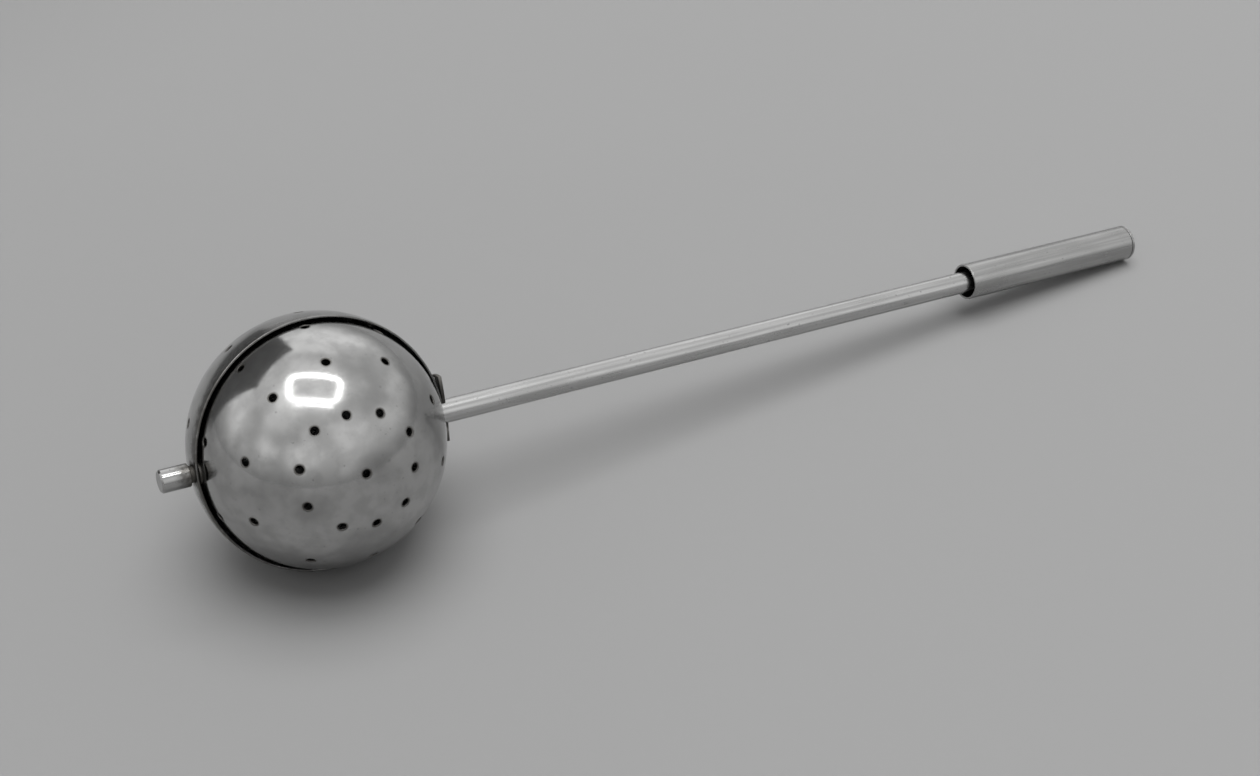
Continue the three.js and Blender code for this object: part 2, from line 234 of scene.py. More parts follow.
class TeaBallShape(bpy.types.PropertyGroup):
    """The small forms that the pressing and drilling leave on the sheet."""

    hole_diameter: FloatProperty(
        name="Hole diameter",
        description="Width of each drilled hole",
        default=1.25 * MM,
        min=0.5 * MM,
        max=2.0 * MM,
        subtype="DISTANCE",
        unit="LENGTH",
    )
    hole_rounding: FloatProperty(
        name="Hole rounding",
        description="Radius of the burnished edge of each hole",
        default=0.06 * MM,
        min=0.02 * MM,
        max=0.25 * MM,
        subtype="DISTANCE",
        unit="LENGTH",
    )
    dimple_depth: FloatProperty(
        name="Dimple depth",
        description="How far the sheet was pressed in round each hole",
        default=0.015 * MM,
        min=0.0,
        max=0.2 * MM,
        subtype="DISTANCE",
        unit="LENGTH",
    )
    dimple_width: FloatProperty(
        name="Dimple width",
        description="Width of the dimple beside each hole",
        default=0.45 * MM,
        min=0.1 * MM,
        max=1.0 * MM,
        subtype="DISTANCE",
        unit="LENGTH",
    )
    edge_rounding: FloatProperty(
        name="Edge rounding",
        description="Radius of the rubbed edges of the half shells",
        default=0.17 * MM,
        min=0.02 * MM,
        max=0.19 * MM,
        subtype="DISTANCE",
        unit="LENGTH",
    )


class TeaBallFinish(bpy.types.PropertyGroup):
    """Colours and polish of the metals."""

    plate_colour: FloatVectorProperty(
        name="Plate",
        description="Colour of the polished plate on the ball",
        default=(0.46, 0.46, 0.455),
        min=0.0,
        max=1.0,
        subtype="COLOR",
    )
    plate_roughness: FloatProperty(
        name="Plate roughness",
        description="Roughness of the polished plate where it is cleanest",
        default=0.085,
        min=0.0,
        max=1.0,
        subtype="FACTOR",
    )
    satin_colour: FloatVectorProperty(
        name="Satin plate",
        description="Colour of the tube and the strap",
        default=(0.54, 0.54, 0.535),
        min=0.0,
        max=1.0,
        subtype="COLOR",
    )
    satin_roughness: FloatProperty(
        name="Satin roughness",
        description="Roughness of the satin plate",
        default=0.22,
        min=0.0,
        max=1.0,
        subtype="FACTOR",
    )
    grip_colour: FloatVectorProperty(
        name="Handled plate",
        description="Colour of the grip's satin plate",
        default=(0.44, 0.44, 0.435),
        min=0.0,
        max=1.0,
        subtype="COLOR",
    )
    stub_colour: FloatVectorProperty(
        name="Toned plate",
        description="Colour of the stub, polished by handling but toned dark",
        default=(0.42, 0.42, 0.415),
        min=0.0,
        max=1.0,
        subtype="COLOR",
    )
    rod_colour: FloatVectorProperty(
        name="Drawn steel",
        description="Colour of the rod, its pins and the washers",
        default=(0.42, 0.42, 0.43),
        min=0.0,
        max=1.0,
        subtype="COLOR",
    )
    bush_colour: FloatVectorProperty(
        name="Nickel silver",
        description="Colour of the bushes and hubs",
        default=(0.3, 0.295, 0.28),
        min=0.0,
        max=1.0,
        subtype="COLOR",
    )
    # This colour paints the tea stain by the holes, and also the painted shade at the rims, seats,
    # backs, far bush, stub's seat, strap and grip's mouth.
    stain_and_shade_colour: FloatVectorProperty(
        name="Tea stain",
        description="Colour of the stain in the holes and crevices",
        default=(0.075, 0.07, 0.063),
        min=0.0,
        max=1.0,
        subtype="COLOR",
    )


class TeaBallStage(bpy.types.PropertyGroup):
    """The floor, the lamp over the ball, the room and the camera."""

    floor_colour: FloatVectorProperty(
        name="Floor",
        description="Colour of the plain pale floor",
        default=(0.43, 0.43, 0.43),
        min=0.0,
        max=1.0,
        subtype="COLOR",
    )
    card_colour: FloatVectorProperty(
        name="Dark card",
        description="Colour of the dark card that stands beside the ball",
        default=(0.36, 0.36, 0.36),
        min=0.0,
        max=1.0,
        subtype="COLOR",
    )
    lamp_height: FloatProperty(
        name="Lamp height",
        description="Height of the lamp over the ball's centre",
        default=0.45,
        min=0.2,
        max=2.0,
        subtype="DISTANCE",
        unit="LENGTH",
    )
    lamp_strength: FloatProperty(
        name="Lamp strength",
        description="Brightness of the lamp's tubes, as the metal shows them",
        default=8.6,
        min=0.0,
        max=20.0,
    )
    soft_light_strength: FloatProperty(
        name="Soft light",
        description="Strength of the soft light from overhead, in watts per square metre",
        default=1.95,
        min=0.0,
        max=20.0,
    )
    soft_light_spread: FloatProperty(
        name="Soft light's spread",
        description="How wide the soft light is, as the strainer sees it",
        default=math.radians(52),
        min=0.0,
        max=math.pi,
        subtype="ANGLE",
        unit="ROTATION",
    )
    light_low: FloatProperty(
        name="Light from the horizon",
        description="Brightness of the room near the horizon, for what it lights",
        default=0.06,
        min=0.0,
        max=2.0,
    )
    light_high: FloatProperty(
        name="Light from overhead",
        description="Brightness of the room overhead, for what it lights",
        default=0.5,
        min=0.0,
        max=2.0,
    )
    room_low: FloatProperty(
        name="Room at the horizon",
        description="Brightness of the room near the horizon, as the metal shows it",
        default=0.42,
        min=0.0,
        max=2.0,
    )
    room_wall: FloatProperty(
        name="Room's walls",
        description="Brightness of the room halfway up, as the metal shows it",
        default=1.17,
        min=0.0,
        max=2.0,
    )
    room_high: FloatProperty(
        name="Room overhead",
        description="Brightness of the room overhead, as the metal shows it",
        default=1.58,
        min=0.0,
        max=2.0,
    )
    room_swing: FloatProperty(
        name="Room swing",
        description="How much brighter the room's walls are behind the ball than in front of it",
        default=0.2,
        min=0.0,
        max=1.0,
    )
    room_unevenness: FloatProperty(
        name="Room's unevenness",
        description="How patchy the room is, as the metal shows it",
        default=0.36,
        min=0.0,
        max=1.0,
        subtype="FACTOR",
    )
    focal_length: FloatProperty(
        name="Focal length",
        description="Focal length of the camera's lens, in millimetres on a 36 mm sensor",
        default=57.14,
        min=20.0,
        max=200.0,
    )
    camera_pitch: FloatProperty(
        name="Camera pitch",
        description="How far the camera looks down",
        default=math.radians(39.35),
        subtype="ANGLE",
        unit="ROTATION",
    )
    camera_turn: FloatProperty(
        name="Camera turn",
        description="How far the camera is turned from +Y towards +X",
        default=math.radians(28.77),
        subtype="ANGLE",
        unit="ROTATION",
    )
    ball_in_view: FloatVectorProperty(
        name="Ball in view",
        description="The ball's centre from the camera: to the right, up and ahead",
        default=(-47.073 * MM, -8.226 * MM, 303.823 * MM),
        subtype="XYZ",
        unit="LENGTH",
    )


class Skin:
    """A surface being drawn: its points, their normals, its faces and how grimy each point is, where
    the grime is partly painted shade.
    """

    def __init__(self):
        self.points = []
        self.normals = []
        self.faces = []
        self.grime_and_shade = []

    def point(self, place, normal, grime_and_shade=0.0):
        """Adds a point and returns its number."""
        self.points.append(Vector(place))
        self.normals.append(Vector(normal).normalized())
        self.grime_and_shade.append(grime_and_shade)
        return len(self.points) - 1

    def face(self, *corners):
        """Adds a face, turned so that it looks the way its corners' normals do."""
        a, b, c = (self.points[i] for i in corners[:3])
        looks = (b - a).cross(c - a)
        wanted = sum((self.normals[i] for i in corners), Vector())
        self.faces.append(corners if looks.dot(wanted) >= 0 else corners[::-1])

    def band(self, near, far):
        """Joins two rings of points."""
        for i in range(len(near)):
            after = (i + 1) % len(near)
            self.face(*dict.fromkeys((near[i], near[after], far[after], far[i])))

    def add(self, other):
        """Takes in another surface, which stays closed by itself."""
        first = len(self.points)
        self.points += other.points
        self.normals += other.normals
        self.grime_and_shade += other.grime_and_shade
        self.faces += [tuple(first + i for i in face) for face in other.faces]
        return self

    def moved(self, matrix):
        """Turns and shifts the surface, which keeps its size."""
        turn = matrix.to_3x3()
        self.points = [matrix @ p for p in self.points]
        self.normals = [turn @ n for n in self.normals]
        return self

    def piece(self, name, body, slot, material, *nodes):
        """Makes the piece, which rides on its body and stands for its CAD nodes."""
        turn = LYING.to_3x3()
        mesh = bpy.data.meshes.new(name)
        mesh.from_pydata([LYING @ p for p in self.points], [], self.faces)
        mesh.shade_smooth()
        mesh.normals_split_custom_set_from_vertices([turn @ n for n in self.normals])
        mesh.attributes.new("grime_and_shade", "FLOAT", "POINT").data.foreach_set("value", self.grime_and_shade)
        spots = [size for point in self.points for size in point]
        mesh.attributes.new("spot", "FLOAT_VECTOR", "POINT").data.foreach_set("vector", spots)
        mesh.materials.append(material)
        obj = bpy.data.objects.new(name, mesh)
        bpy.context.scene.collection.objects.link(obj)
        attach(obj, body)
        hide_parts(*nodes)
        return obj


def rounded(corners, rounding, closed=False):
    """A turned profile with its corners rounded, as (along, radius, normal along, normal out).

    The corners run so that the metal is on the right-hand side.
    """
    count = len(corners)
    places = [Vector(c) for c in corners]
    line = []
    if not closed:
        first = (places[1] - places[0]).normalized()
        line.append((*places[0], -first.y, first.x))
    for i in range(count) if closed else range(1, count - 1):
        before = places[i] - places[i - 1]
        after = places[(i + 1) % count] - places[i]
        room = min(before.length, after.length) / 2
        before.normalize()
        after.normalize()
        turn = math.atan2(before.x * after.y - before.y * after.x, before.dot(after))
        set_back = min(rounding * abs(math.tan(turn / 2)), CORNER_ROOM_SHARE * room)
        radius = set_back / abs(math.tan(turn / 2))
        out = Vector((-before.y, before.x))
        side = -1 if turn > 0 else 1
        centre = places[i] - before * set_back - side * radius * out
        for step in range(CORNER_STEPS + 1):
            angle = turn * step / CORNER_STEPS
            c, s = math.cos(angle), math.sin(angle)
            normal = Vector((out.x * c - out.y * s, out.x * s + out.y * c))
            line.append((*(centre + side * radius * normal), *normal))
    if not closed:
        last = (places[-1] - places[-2]).normalized()
        line.append((*places[-1], -last.y, last.x))
    return line


def clean(along, radius):
    """The grime and painted shade of a turned piece that has none."""
    return 0.0


def turned(corners, rounding=TURNED_ROUNDING, closed=False, grime_and_shade=clean, sides=ROUND_SIDES):
    """A piece turned about the handle's axis from a profile of (along, radius) corners."""
    skin = Skin()
    rings = []
    for along, radius, normal_along, normal_out in rounded(corners, rounding, closed):
        stain_and_shade = grime_and_shade(along, radius)
        if radius == 0:
            rings.append([skin.point((along, 0, 0), (normal_along, 0, 0), stain_and_shade)] * sides)
            continue
        ring = []
        for side in range(sides):
            angle = math.tau * side / sides
            y, z = math.cos(angle), math.sin(angle)
            place = (along, radius * y, radius * z)
            ring.append(skin.point(place, (normal_along, normal_out * y, normal_out * z), stain_and_shade))
        rings.append(ring)
    for near, far in zip(rings, rings[1:] + rings[:1] if closed else rings[1:]):
        skin.band(near, far)
    return skin


def tube_profile(bore, radius, start, end):
    """The corners of a plain sleeve."""
    return [(start, bore), (start, radius), (end, radius), (end, bore)]


def rod_profile(radius, start, end):
    """The corners of a plain rod."""
    return [(start, 0), (start, radius), (end, radius), (end, 0)]


def sheet(loops, fill, inside, place, thickness, rounding, grime_and_shade=lambda spot: 0.0, back_shade=0.0):
    """A piece of sheet metal over a flat map, with rounded edges.

    loops are its edges, each a function from how far in from the edge to the points of
    that line on the map. fill are more points on the map, inside tells whether a spot is
    on the metal, and place puts a spot of the map at a depth below the front.
    """
    skin = Skin()
    spots = []
    borders = []
    edges = []
    for loop in loops:
        line = loop(rounding)
        border = list(range(len(spots), len(spots) + len(line)))
        spots += line
        borders.append(border)
        edges += zip(border, border[1:] + border[:1])
    spots += fill
    drawn, _, triangles, origins, _, _ = delaunay_2d_cdt(spots, edges, [], 0, MERGE_DISTANCE)

    def on_metal(triangle):
        """Whether a triangle is on the metal, and isn't a sliver along a straight edge."""
        a, b, c = (drawn[i] for i in triangle)
        sliver = abs((b - a).cross(c - a)) < SLIVER_SHARE * (b - a).length * (c - a).length
        return not sliver and inside((a + b + c) / 3)

    kept = [[origins[i][0] for i in triangle] for triangle in triangles if on_metal(triangle)]
    nudge = NUDGE_SHARE * max(spot.length for spot in spots)
    right, ahead = Vector((nudge, 0)), Vector((0, nudge))

    def front_normal(spot):
        rightwards = place(spot + right, 0) - place(spot - right, 0)
        forwards = place(spot + ahead, 0) - place(spot - ahead, 0)
        normal = rightwards.cross(forwards).normalized()
        outward = place(spot, 0) - place(spot, thickness)
        return normal if normal.dot(outward) > 0 else -normal

    normals = [front_normal(spot) for spot in spots]
    stains = [grime_and_shade(spot) for spot in spots]
    front = [skin.point(place(s, 0), n, g) for s, n, g in zip(spots, normals, stains)]
    # The back faces carry at least the back's painted shade.
    back = [
        skin.point(place(s, thickness), -n, max(g, back_shade))
        for s, n, g in zip(spots, normals, stains)
    ]
    for a, b, c in kept:
        skin.face(front[a], front[b], front[c])
        skin.face(back[a], back[b], back[c])
    for loop, border in zip(loops, borders):
        outward = []
        for spot, i in zip(loop(0), border):
            away = place(spot, 0) - place(spots[i], 0)
            outward.append((away - away.dot(normals[i]) * normals[i]).normalized())
        rings = [[front[i] for i in border]]
        steps = [(step, False) for step in range(1, RIM_STEPS + 1)]
        steps += [(step, True) for step in range(RIM_STEPS, 0, -1)]
        for step, behind in steps:
            angle = math.pi / 2 * step / RIM_STEPS
            depth = rounding * (1 - math.cos(angle))
            ring = []
            for spot, away, i in zip(loop(rounding * (1 - math.sin(angle))), outward, border):
                facing = -normals[i] if behind else normals[i]
                normal = facing * math.cos(angle) + away * math.sin(angle)
                at = place(spot, thickness - depth if behind else depth)
                ring.append(skin.point(at, normal, skin.grime_and_shade[back[i] if behind else front[i]]))
            rings.append(ring)
        rings.append([back[i] for i in border])
        for near, far in zip(rings, rings[1:]):
            skin.band(near, far)
    return skin


def circle(radius, sides=ROUND_SIDES):
    """The edge of a bore on a flat map. An inset widens it."""

    def loop(inset):
        turns = [math.tau * side / sides for side in range(sides)]
        return [(radius + inset) * Vector((math.cos(turn), math.sin(turn))) for turn in turns]

    return loop


def arc(radius, start, end, steps):
    """The points of an arc about the map's middle, with both its ends."""
    turns = [start + (end - start) * step / steps for step in range(steps + 1)]
    return [radius * Vector((math.cos(turn), math.sin(turn))) for turn in turns]


def plate(outline, bore, front, thickness, rounding, fill=(), height=lambda spot: 0.0):
    """A plate across the handle's axis, drawn in Y and Z. Its bore is None where it has none."""
    loops = [outline] + ([circle(bore)] if bore else [])
    open_radius = bore + rounding if bore else 0

    def inside(spot):
        return spot.length > EDGE_SHARE * open_radius

    def place(spot, depth):
        return Vector((front + height(spot) - depth, spot.x, spot.y))

    return sheet(loops, list(fill), inside, place, thickness, rounding)


def stop_lug(middle, spread, front, thickness):
    """A lug that is a sector of a ring about the handle's axis."""
    bore = GRIP_BUSH.bore

    def outline(inset):
        out, low = STOP_RADIUS - inset, bore + inset
        start, end = middle - spread / 2, middle + spread / 2
        outer = arc(out, start + inset / out, end - inset / out, PIN_SIDES)
        return outer + arc(low, end - inset / low, start + inset / low, PIN_SIDES)

    def inside(spot):
        return spot.length > bore + FINE_ROUNDING

    def place(spot, depth):
        return Vector((front - depth, spot.x, spot.y))

    return sheet([outline], [], inside, place, thickness, FINE_ROUNDING)


def to_map(direction):
    """The stereographic map of a half ball whose pole looks along +Y."""
    return Vector((direction.x, direction.z)) / (1 + direction.y)


def from_map(spot):
    """The direction that a spot of the stereographic map stands for."""
    far = spot.length_squared
    y = (1 - far) / (1 + far)
    return Vector((spot.x * (1 + y), y, spot.y * (1 + y)))


def hole_directions():
    """Which way each hole looks, in a half ball whose pole looks along +Y."""
    directions = [Vector((0, 1, 0))]
    for tilt, stray_tilts, stray_turns in HOLE_RINGS:
        for hole in range(HOLES_PER_RING):
            lean = math.radians(tilt + stray_tilts[hole])
            turn = math.radians(FIRST_HOLE_TURN + 360 / HOLES_PER_RING * hole + stray_turns[hole])
            x, z = math.cos(turn) * math.sin(lean), -math.sin(turn) * math.sin(lean)
            directions.append(Vector((x, math.cos(lean), z)))
    return directions


def ring_round(direction, radius, ball_radius):
    """The points of a small circle round a direction, on the map."""
    side = direction.orthogonal().normalized()
    up = direction.cross(side)
    angle = radius / ball_radius
    line = []
    for step in range(HOLE_SIDES):
        turn = math.tau * step / HOLE_SIDES
        lean = side * math.cos(turn) + up * math.sin(turn)
        line.append(to_map(direction * math.cos(angle) + lean * math.sin(angle)))
    return line


def open_edge(ball_radius, past_axis, notches, inset):
    """The edge of a half shell at an inset, on the map.

    notches are how wide its notches are, half across, on the grip's side and on the
    stub's. A width of 0 stands for no notch.
    """
    rim = inset - past_axis
    round_radius = math.sqrt(ball_radius**2 - rim**2)
    widths = [notch + inset if notch else 0 for notch in notches]

    def bite(side, width):
        """The notch from its corner at +Z to the one at -Z, both left out."""
        if width == 0:
            return []
        steps = range(1, NOTCH_WALL_SIDES)
        wall = [(rim * (1 - step / NOTCH_WALL_SIDES), width) for step in steps]
        bow = [(spot.y, spot.x) for spot in arc(width, 0, math.pi, NOTCH_SIDES)]
        mirrored = [(y, -z) for y, z in reversed(wall)]
        line = []
        for y, z in wall + bow + mirrored:
            x = side * math.sqrt(ball_radius**2 - y**2 - z**2)
            line.append(to_map(Vector((x, y, z)) / ball_radius))
        return line

    def rim_arc(upper):
        """The rim from the grip's side to the stub's side, on +Z or on -Z."""
        start = math.asin(widths[0] / round_radius)
        end = math.pi - math.asin(widths[1] / round_radius)
        line = []
        for spot in arc(round_radius, start, end, 2 * ROUND_SIDES):
            line.append(to_map(Vector((spot.x, rim, spot.y if upper else -spot.y)) / ball_radius))
        return line

    upper, lower = rim_arc(True), rim_arc(False)
    if widths[1] == 0:
        lower.pop()
    return upper + bite(-1, widths[1]) + lower[::-1] + bite(1, widths[0])[::-1]


def half_shell(shape, radius, past_axis, notches, rim_shade, rim_reach, bush_hole=0.0):
    """A pressed and drilled half shell whose pole looks along +Y.

    notches are the widths of its notches, half across, for the grip's side and the stub's.
    rim_shade is how dark the rim is painted, as painted shade, and rim_reach how far in from it that
    fades.
    bush_hole is the radius of the closed hole on the stub's side, or 0 for none.
    """
    holes = hole_directions()
    hole_radius = shape.hole_diameter / 2
    hole_edge = hole_radius + shape.hole_rounding
    dimple_end = hole_edge + shape.dimple_width
    rounding = shape.edge_rounding
    bush = Vector((-1, 0, 0))

    def hole_loop(direction, size):
        share = shape.hole_rounding / rounding
        return lambda inset: ring_round(direction, size + share * inset, radius)

    def from_hole(direction):
        """How far a direction is from the middle of the nearest hole."""
        nearest = max(direction.dot(hole) for hole in holes)
        return radius * math.acos(min(nearest, 1))

    def off_notch(direction):
        """How far a direction is from the edge of its side's notch."""
        x, y, z = direction * radius
        notch = notches[0 if x > 0 else 1]
        if abs(x) < radius / 2 or notch == 0:
            return radius
        return (math.hypot(y, z) if y > 0 else abs(z)) - notch

    def off_bush(direction):
        """How far a direction is from the edge of the bush's hole."""
        return radius * math.acos(min(direction.dot(bush), 1)) - bush_hole if bush_hole else radius

    def place(spot, depth):
        direction = from_map(spot)
        near = min(max((from_hole(direction) - hole_edge) / shape.dimple_width, 0), 1)
        return direction * (radius - depth - shape.dimple_depth * (1 - near) ** 2)

    def inside(spot):
        direction = from_map(spot)
        clear_of_holes = from_hole(direction) > EDGE_SHARE * hole_edge
        clear_of_bush = off_bush(direction) > BUSH_EDGE_SHARE * shape.hole_rounding
        return clear_of_holes and clear_of_bush and off_notch(direction) > rounding

    # Tea stain round the holes, and painted shade at the seats and along the rim.
    def grime_and_shade(spot):
        direction = from_map(spot)
        hole = 1 - (from_hole(direction) - hole_edge) / shape.dimple_width
        # Painted shade round the far bush and the notches.
        seat_shade = 1 - min(off_bush(direction), off_notch(direction) - rounding) / SEAT_REACH
        # Painted shade along the rim, darker on the stub's side.
        rim = 1 - (direction.y * radius + past_axis - rounding) / rim_reach
        stub_side = RIM_SHADE_MIDDLE - RIM_SHADE_SWING * direction.x
        return min(max(hole, seat_shade, rim_shade * stub_side * rim, 0), 1)

    loops = [lambda inset: open_edge(radius, past_axis, notches, inset)]
    loops += [hole_loop(hole, hole_radius) for hole in holes]
    fill = []
    for hole in holes:
        for ring in range(1, DIMPLE_RINGS + 1):
            reach = hole_edge + shape.dimple_width * ring / DIMPLE_RINGS
            fill += ring_round(hole, reach, radius)
    for ring in (1, 2):
        fill += open_edge(radius, past_axis, notches, rounding + ring * FILL_SPACING / 2)
    lowest = rounding - past_axis + FILL_CLEARANCE
    count = int(math.tau * radius * (radius - lowest) / FILL_SPACING**2)
    golden_turn = math.pi * (3 - math.sqrt(5))
    for i in range(count):
        y = 1 - (i + 0.5) * (1 - lowest / radius) / count
        across = math.sqrt(1 - y**2)
        turn = golden_turn * i
        direction = Vector((across * math.cos(turn), y, across * math.sin(turn)))
        clear_of_notch = off_notch(direction) > rounding + FILL_CLEARANCE
        if clear_of_notch and from_hole(direction) > dimple_end + FILL_SPACING / 2:
            fill.append(to_map(direction))
    if bush_hole:
        loops.append(hole_loop(bush, bush_hole))
        margin = shape.hole_rounding + FILL_SPACING / 4
        fill = [spot for spot in fill if off_bush(from_map(spot)) > margin]
    return sheet(loops, fill, inside, place, SHEET, rounding, grime_and_shade, back_shade=BACK_SHADE)


class Shade:
    """A socket in a node tree. Arithmetic on it adds Math nodes."""

    def __init__(self, tree, socket=None):
        self.tree = tree
        self.socket = socket

    def make(self, kind, settings=None, values=None, output=0):
        """Adds a node, sets it, feeds its sockets and returns the output asked for."""
        node = self.tree.nodes.new(kind)
        for name, setting in (settings or {}).items():
            setattr(node, name, setting)
        for name, value in (values or {}).items():
            if isinstance(value, Shade):
                self.tree.links.new(value.socket, node.inputs[name])
            else:
                node.inputs[name].default_value = value
        return Shade(self.tree, node.outputs[output] if node.outputs else None)

    def maths(self, operation, *values):
        return self.make("ShaderNodeMath", {"operation": operation}, dict(enumerate(values)))

    def __add__(self, other):
        return self.maths("ADD", self, other)

    def __radd__(self, other):
        return self.maths("ADD", other, self)

    def __sub__(self, other):
        return self.maths("SUBTRACT", self, other)

    def __rsub__(self, other):
        return self.maths("SUBTRACT", other, self)

    def __mul__(self, other):
        return self.maths("MULTIPLY", self, other)

    def __rmul__(self, other):
        return self.maths("MULTIPLY", other, self)

    def __pow__(self, other):
        return self.maths("POWER", self, other)

    def rise(self, low, high):
        """0 up to low and 1 from high on, with a smooth step between."""
        values = {"Value": self, "From Min": low, "From Max": high}
        return self.make("ShaderNodeMapRange", {"interpolation_type": "SMOOTHSTEP"}, values)

    def between(self, low, high):
        """Mixes two colours by this number."""
        colours = [c if isinstance(c, Shade) else (*c, 1) for c in (low, high)]
        settings = {"data_type": "RGBA", "clamp_factor": True}
        return self.make("ShaderNodeMix", settings, {0: self, 6: colours[0], 7: colours[1]}, 2)

    def parts(self):
        """The X, Y and Z of this vector."""
        return [
            self.make("ShaderNodeSeparateXYZ", None, {"Vector": self}, axis) for axis in range(3)
        ]

    def stretched(self, scale, turn=(0.0, 0.0, 0.0)):
        """These coordinates, turned by an Euler angle and scaled."""
        values = {"Vector": self, "Scale": scale, "Rotation": turn}
        return self.make("ShaderNodeMapping", None, values)

    def noise(self, scale, detail=3.0):
        """Noise over these coordinates, with so many waves a metre."""
        values = {"Vector": self, "Scale": scale, "Detail": detail}
        return self.make("ShaderNodeTexNoise", None, values)


def dimmed(colour, share):
    return tuple(share * part for part in colour)


def stained_and_shaded(spot, grime_and_shade, scale):
    """How stained and how darkly shaded a spot is painted, from 0 to 1: its grime and painted shade,
    broken up by noise of that scale.
    """
    return (grime_and_shade * (0.5 + spot.noise(scale, 3))).rise(0.3, 1.0)


def paint_plate(finish, spot, grime_and_shade):
    """Polished plate: rubbed every way, cloudy with tarnish, stained by its holes, and darkened with
    painted shade at its rims and seats.
    """
    clouds = spot.noise(95, 3).rise(0.38, 0.66)
    film = spot.noise(420, 5).rise(0.4, 0.68)
    rubs = [
        spot.stretched((0.05, 1, 1), turn).noise(2600, 2)
        for turn in ((0.3, 0.2, 0.9), (0.1, 1.1, 2.2), (1.3, 0.4, 0.1))
    ]
    rubbed = (rubs[0] + rubs[1] + rubs[2]) * (1 / 3)
    specks = spot.noise(1500, 1).rise(0.71, 0.78)
    stain_and_shade = stained_and_shaded(spot, grime_and_shade, 900)
    clean = clouds.between(finish.plate_colour, dimmed(finish.plate_colour, 0.7))
    filmed = (0.4 * film).between(clean, dimmed(finish.plate_colour, 0.62))
    worn = (specks * 0.4).between(filmed, dimmed(finish.plate_colour, 0.4))
    colour = (stain_and_shade * 0.85).between(worn, finish.stain_and_shade_colour)
    hazy = 0.05 * clouds + 0.05 * film
    roughness = finish.plate_roughness + hazy + 0.16 * (rubbed - 0.4) + 0.3 * stain_and_shade
    height = 1.2e-6 * rubbed + 3.2e-5 * spot.noise(170, 3)
    return colour, roughness, height


def satin(finish, spot, grime_and_shade, plate):
    """Satin plate, rubbed along the handle, with duller streaks, and darkened by its grime
    attribute: dirt and painted shade on the strap, painted shade at the stub's seat and in the
    grip's mouth.
    """
    hairs = spot.stretched((0.02, 1, 1)).noise(5200, 2)
    streaks = spot.stretched((0.03, 1, 1)).noise(1500, 2)
    clouds = spot.stretched((0.35, 1, 1)).noise(240, 4).rise(0.45, 0.7)
    pits = spot.noise(1900, 1).rise(0.7, 0.78)
    stain_and_shade = stained_and_shaded(spot, grime_and_shade, 1300)
    bright = streaks.rise(0.35, 0.65).between(dimmed(plate, 0.84), plate)
    dull = (0.6 * clouds).between(bright, dimmed(plate, 0.74))
    pitted = (0.5 * pits).between(dull, dimmed(plate, 0.35))
    colour = (0.9 * stain_and_shade).between(pitted, finish.stain_and_shade_colour)
    roughness = finish.satin_roughness + 0.12 * (streaks - 0.5) + 0.08 * clouds + 0.3 * stain_and_shade
    height = 4e-6 * hairs + 1.2e-5 * streaks
    return colour, roughness, height


def paint_tube(finish, spot, grime_and_shade):
    return satin(finish, spot, grime_and_shade, finish.satin_colour)


def paint_grip(finish, spot, grime_and_shade):
    return satin(finish, spot, grime_and_shade, finish.grip_colour)


def paint_stub(finish, spot, grime_and_shade):
    """The same plate, polished by handling."""
    colour, roughness, height = satin(finish, spot, grime_and_shade, finish.stub_colour)
    return colour, 0.5 * roughness, 0.25 * height


def paint_steel(finish, spot, grime_and_shade):
    """Plain drawn steel, with fine draw lines and a few brown spots."""
    lines = spot.stretched((0.015, 1, 1)).noise(6500, 2)
    spots = spot.noise(700, 4).rise(0.6, 0.72)
    drawn = lines.rise(0.3, 0.7).between(dimmed(finish.rod_colour, 0.85), finish.rod_colour)
    colour = (0.55 * spots).between(drawn, finish.stain_and_shade_colour)
    return colour, 0.3 + 0.2 * spots + 0.1 * (lines - 0.5), 4e-6 * lines


def paint_nickel_silver(finish, spot, grime_and_shade):
    """Turned nickel silver: tool rings round the axis, toned, and darkened with painted shade where
    its grime attribute says, as on the far bush.
    """
    x, y, z = spot.parts()
    out = (y * y + z * z) ** 0.5
    rings = spot.make("ShaderNodeCombineXYZ", None, {0: x, 1: out}).noise(7000, 2)
    toned = spot.noise(420, 4).rise(0.45, 0.7)
    bright = rings.rise(0.3, 0.7).between(dimmed(finish.bush_colour, 0.85), finish.bush_colour)
    dark = (0.7 * toned).between(bright, dimmed(finish.bush_colour, 0.45))
    stain_and_shade = stained_and_shaded(spot, grime_and_shade, 900)
    colour = (0.9 * stain_and_shade).between(dark, finish.stain_and_shade_colour)
    return colour, 0.28 + 0.15 * toned + 0.1 * (rings - 0.5) + 0.25 * stain_and_shade, 4e-6 * rings


def paint_solder(finish, spot, grime_and_shade):
    """Soft solder, darker and lumpier than the plate."""
    lumps = spot.noise(1600, 3)
    grey = dimmed(finish.satin_colour, 0.32)
    colour = lumps.rise(0.35, 0.65).between(dimmed(grey, 0.7), grey)
    return colour, 0.38 + 0.15 * lumps, 5e-5 * lumps


PAINTS = {
    "ball_plate": paint_plate,
    "tube_satin": paint_tube,
    "grip_satin": paint_grip,
    "stub_polish": paint_stub,
    "drawn_steel": paint_steel,
    "nickel_silver": paint_nickel_silver,
    "soft_solder": paint_solder,
}


def bare_tree(owner):
    """Empties the node tree of a new material or world, and returns it to build on."""
    owner.use_nodes = True
    owner.node_tree.nodes.clear()
    return Shade(owner.node_tree)


